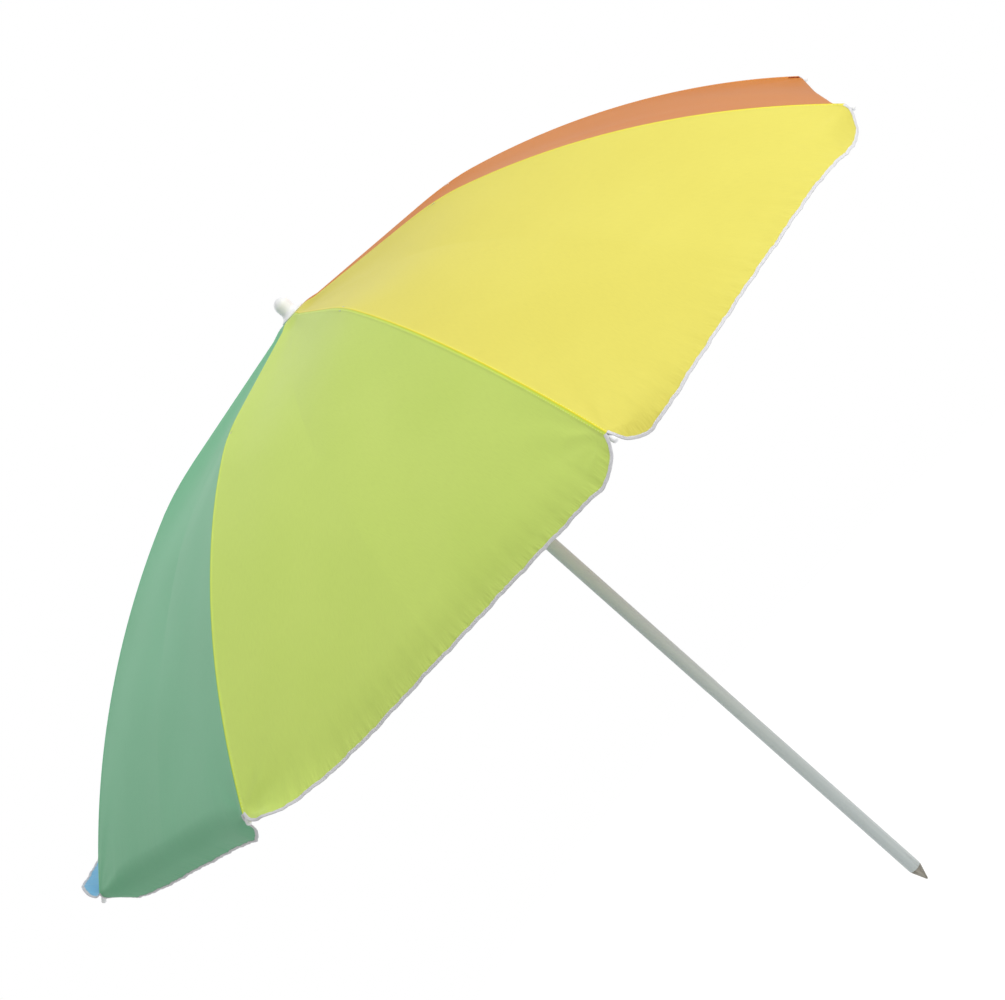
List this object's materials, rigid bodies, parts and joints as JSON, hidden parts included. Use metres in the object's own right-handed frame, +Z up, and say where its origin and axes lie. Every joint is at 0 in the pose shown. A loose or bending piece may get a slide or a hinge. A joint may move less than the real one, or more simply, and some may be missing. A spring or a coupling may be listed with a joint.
{
  "type": "beach umbrella",
  "caption": "Beach umbrella with a rainbow canopy on folding ribs, stretchers, runner and catch, and a one-piece steel pole with a ground spike.",
  "frame": {"origin": "point of the ground spike, on the pole's axis", "axes": "+Z up along the pole to the finial, +X along rib 1, between the orange and red panels; ribs numbered anticlockwise from above"},
  "size_m": [1.6276, 1.6276, 1.329],
  "materials": {
    "pole_paint": "satin light grey paint",
    "spike_steel": "dull, scuffed by sand",
    "white_plastic": "moulded, slightly glossy",
    "rib_paint": "white paint on spring-steel wire",
    "bright_steel": "bright drawn wire and pressed plate",
    "fabric_red": "plain-woven polyester, faint sheen",
    "fabric_violet": "plain-woven polyester, faint sheen",
    "fabric_indigo": "plain-woven polyester, faint sheen",
    "fabric_blue": "plain-woven polyester, faint sheen",
    "fabric_green": "plain-woven polyester, faint sheen",
    "fabric_lime": "plain-woven polyester, faint sheen",
    "fabric_yellow": "plain-woven polyester, faint sheen",
    "fabric_orange": "plain-woven polyester, faint sheen"
  },
  "bodies": {
    "pole": {"pole_tube": "pole_paint", "ground_spike": "spike_steel", "finial_cap": "white_plastic", "crown_hub": "white_plastic", "crown_pin": "bright_steel", "crown_wire": "bright_steel", "stop_pin": "bright_steel", "canopy_washer": "white_plastic"},
    "rib_1": {"rib_inner_1": "rib_paint", "rib_joint_1": "bright_steel"},
    "outer_rib_1": {"rib_outer_1": "rib_paint", "rib_tip_1": "white_plastic", "panel_red": "fabric_red"},
    "stretcher_1": {"stretcher_1": "rib_paint"},
    "rib_2": {"rib_inner_2": "rib_paint", "rib_joint_2": "bright_steel"},
    "outer_rib_2": {"rib_outer_2": "rib_paint", "rib_tip_2": "white_plastic", "panel_violet": "fabric_violet"},
    "stretcher_2": {"stretcher_2": "rib_paint"},
    "rib_3": {"rib_inner_3": "rib_paint", "rib_joint_3": "bright_steel"},
    "outer_rib_3": {"rib_outer_3": "rib_paint", "rib_tip_3": "white_plastic", "panel_indigo": "fabric_indigo"},
    "stretcher_3": {"stretcher_3": "rib_paint"},
    "rib_4": {"rib_inner_4": "rib_paint", "rib_joint_4": "bright_steel"},
    "outer_rib_4": {"rib_outer_4": "rib_paint", "rib_tip_4": "white_plastic", "panel_blue": "fabric_blue"},
    "stretcher_4": {"stretcher_4": "rib_paint"},
    "rib_5": {"rib_inner_5": "rib_paint", "rib_joint_5": "bright_steel"},
    "outer_rib_5": {"rib_outer_5": "rib_paint", "rib_tip_5": "white_plastic", "panel_green": "fabric_green"},
    "stretcher_5": {"stretcher_5": "rib_paint"},
    "rib_6": {"rib_inner_6": "rib_paint", "rib_joint_6": "bright_steel"},
    "outer_rib_6": {"rib_outer_6": "rib_paint", "rib_tip_6": "white_plastic", "panel_lime": "fabric_lime"},
    "stretcher_6": {"stretcher_6": "rib_paint"},
    "rib_7": {"rib_inner_7": "rib_paint", "rib_joint_7": "bright_steel"},
    "outer_rib_7": {"rib_outer_7": "rib_paint", "rib_tip_7": "white_plastic", "panel_yellow": "fabric_yellow"},
    "stretcher_7": {"stretcher_7": "rib_paint"},
    "rib_8": {"rib_inner_8": "rib_paint", "rib_joint_8": "bright_steel"},
    "outer_rib_8": {"rib_outer_8": "rib_paint", "rib_tip_8": "white_plastic", "panel_orange": "fabric_orange"},
    "stretcher_8": {"stretcher_8": "rib_paint"},
    "runner": {"runner": "white_plastic", "runner_wire": "bright_steel"},
    "catch": {"catch_spring": "bright_steel"}
  },
  "joints": [
    {"name": "canopy_fold", "type": "hinge", "parent": "pole", "child": "rib_1", "pos_m": [0.016, 0, 1.28979], "axis": [0, 1, 0], "range_deg": [0, 75], "deforming": ["panel_red", "panel_violet", "panel_indigo", "panel_blue", "panel_green", "panel_lime", "panel_yellow", "panel_orange", "catch_spring"]},
    {"name": "rib_fold_2", "type": "hinge", "parent": "pole", "child": "rib_2", "pos_m": [0.01131, 0.01131, 1.28979], "axis": [-0.7071, 0.7071, 0], "range_deg": [0, 75]},
    {"name": "rib_fold_3", "type": "hinge", "parent": "pole", "child": "rib_3", "pos_m": [0, 0.016, 1.28979], "axis": [-1, 0, 0], "range_deg": [0, 75]},
    {"name": "rib_fold_4", "type": "hinge", "parent": "pole", "child": "rib_4", "pos_m": [-0.01131, 0.01131, 1.28979], "axis": [-0.7071, -0.7071, 0], "range_deg": [0, 75]},
    {"name": "rib_fold_5", "type": "hinge", "parent": "pole", "child": "rib_5", "pos_m": [-0.016, 0, 1.28979], "axis": [0, -1, 0], "range_deg": [0, 75]},
    {"name": "rib_fold_6", "type": "hinge", "parent": "pole", "child": "rib_6", "pos_m": [-0.01131, -0.01131, 1.28979], "axis": [0.7071, -0.7071, 0], "range_deg": [0, 75]},
    {"name": "rib_fold_7", "type": "hinge", "parent": "pole", "child": "rib_7", "pos_m": [0, -0.016, 1.28979], "axis": [1, 0, 0], "range_deg": [0, 75]},
    {"name": "rib_fold_8", "type": "hinge", "parent": "pole", "child": "rib_8", "pos_m": [0.01131, -0.01131, 1.28979], "axis": [0.7071, 0.7071, 0], "range_deg": [0, 75]},
    {"name": "rib_flex_1", "type": "hinge", "parent": "rib_1", "child": "outer_rib_1", "pos_m": [0.3, 0, 1.25145], "axis": [0, 1, 0], "range_deg": [-20, 0]},
    {"name": "rib_flex_2", "type": "hinge", "parent": "rib_2", "child": "outer_rib_2", "pos_m": [0.21213, 0.21213, 1.25145], "axis": [-0.7071, 0.7071, 0], "range_deg": [-20, 0]},
    {"name": "rib_flex_3", "type": "hinge", "parent": "rib_3", "child": "outer_rib_3", "pos_m": [0, 0.3, 1.25145], "axis": [-1, 0, 0], "range_deg": [-20, 0]},
    {"name": "rib_flex_4", "type": "hinge", "parent": "rib_4", "child": "outer_rib_4", "pos_m": [-0.21213, 0.21213, 1.25145], "axis": [-0.7071, -0.7071, 0], "range_deg": [-20, 0]},
    {"name": "rib_flex_5", "type": "hinge", "parent": "rib_5", "child": "outer_rib_5", "pos_m": [-0.3, 0, 1.25145], "axis": [0, -1, 0], "range_deg": [-20, 0]},
    {"name": "rib_flex_6", "type": "hinge", "parent": "rib_6", "child": "outer_rib_6", "pos_m": [-0.21213, -0.21213, 1.25145], "axis": [0.7071, -0.7071, 0], "range_deg": [-20, 0]},
    {"name": "rib_flex_7", "type": "hinge", "parent": "rib_7", "child": "outer_rib_7", "pos_m": [0, -0.3, 1.25145], "axis": [1, 0, 0], "range_deg": [-20, 0]},
    {"name": "rib_flex_8", "type": "hinge", "parent": "rib_8", "child": "outer_rib_8", "pos_m": [0.21213, -0.21213, 1.25145], "axis": [0.7071, 0.7071, 0], "range_deg": [-20, 0]},
    {"name": "stretcher_fold_1", "type": "hinge", "parent": "rib_1", "child": "stretcher_1", "pos_m": [0.29893, 0, 1.24352], "axis": [0, 1, 0], "range_deg": [-150, 0]},
    {"name": "stretcher_fold_2", "type": "hinge", "parent": "rib_2", "child": "stretcher_2", "pos_m": [0.21138, 0.21138, 1.24352], "axis": [-0.7071, 0.7071, 0], "range_deg": [-150, 0]},
    {"name": "stretcher_fold_3", "type": "hinge", "parent": "rib_3", "child": "stretcher_3", "pos_m": [0, 0.29893, 1.24352], "axis": [-1, 0, 0], "range_deg": [-150, 0]},
    {"name": "stretcher_fold_4", "type": "hinge", "parent": "rib_4", "child": "stretcher_4", "pos_m": [-0.21138, 0.21138, 1.24352], "axis": [-0.7071, -0.7071, 0], "range_deg": [-150, 0]},
    {"name": "stretcher_fold_5", "type": "hinge", "parent": "rib_5", "child": "stretcher_5", "pos_m": [-0.29893, 0, 1.24352], "axis": [0, -1, 0], "range_deg": [-150, 0]},
    {"name": "stretcher_fold_6", "type": "hinge", "parent": "rib_6", "child": "stretcher_6", "pos_m": [-0.21138, -0.21138, 1.24352], "axis": [0.7071, -0.7071, 0], "range_deg": [-150, 0]},
    {"name": "stretcher_fold_7", "type": "hinge", "parent": "rib_7", "child": "stretcher_7", "pos_m": [0, -0.29893, 1.24352], "axis": [1, 0, 0], "range_deg": [-150, 0]},
    {"name": "stretcher_fold_8", "type": "hinge", "parent": "rib_8", "child": "stretcher_8", "pos_m": [0.21138, -0.21138, 1.24352], "axis": [0.7071, 0.7071, 0], "range_deg": [-150, 0]},
    {"name": "runner_pivot", "type": "hinge", "parent": "stretcher_1", "child": "runner", "pos_m": [0.016, 0, 1.19725], "axis": [0, 1, 0], "range_deg": [0, 75]},
    {"name": "catch_press", "type": "slide", "parent": "pole", "child": "catch", "axis": [0.3827, -0.9239, 0], "range_m": [0, 0.0045], "stiffness_N_per_m": 400}
  ],
  "couplings": [
    {"joint": "rib_fold_2", "follows": "canopy_fold", "ratio": 1},
    {"joint": "rib_fold_3", "follows": "canopy_fold", "ratio": 1},
    {"joint": "rib_fold_4", "follows": "canopy_fold", "ratio": 1},
    {"joint": "rib_fold_5", "follows": "canopy_fold", "ratio": 1},
    {"joint": "rib_fold_6", "follows": "canopy_fold", "ratio": 1},
    {"joint": "rib_fold_7", "follows": "canopy_fold", "ratio": 1},
    {"joint": "rib_fold_8", "follows": "canopy_fold", "ratio": 1},
    {"joint": "rib_flex_1", "follows": "canopy_fold", "ratio": -0.26},
    {"joint": "rib_flex_2", "follows": "canopy_fold", "ratio": -0.26},
    {"joint": "rib_flex_3", "follows": "canopy_fold", "ratio": -0.26},
    {"joint": "rib_flex_4", "follows": "canopy_fold", "ratio": -0.26},
    {"joint": "rib_flex_5", "follows": "canopy_fold", "ratio": -0.26},
    {"joint": "rib_flex_6", "follows": "canopy_fold", "ratio": -0.26},
    {"joint": "rib_flex_7", "follows": "canopy_fold", "ratio": -0.26},
    {"joint": "rib_flex_8", "follows": "canopy_fold", "ratio": -0.26},
    {"joint": "stretcher_fold_1", "follows": "canopy_fold", "ratio": -2},
    {"joint": "stretcher_fold_2", "follows": "canopy_fold", "ratio": -2},
    {"joint": "stretcher_fold_3", "follows": "canopy_fold", "ratio": -2},
    {"joint": "stretcher_fold_4", "follows": "canopy_fold", "ratio": -2},
    {"joint": "stretcher_fold_5", "follows": "canopy_fold", "ratio": -2},
    {"joint": "stretcher_fold_6", "follows": "canopy_fold", "ratio": -2},
    {"joint": "stretcher_fold_7", "follows": "canopy_fold", "ratio": -2},
    {"joint": "stretcher_fold_8", "follows": "canopy_fold", "ratio": -2},
    {"joint": "runner_pivot", "follows": "canopy_fold", "ratio": 1}
  ]
}
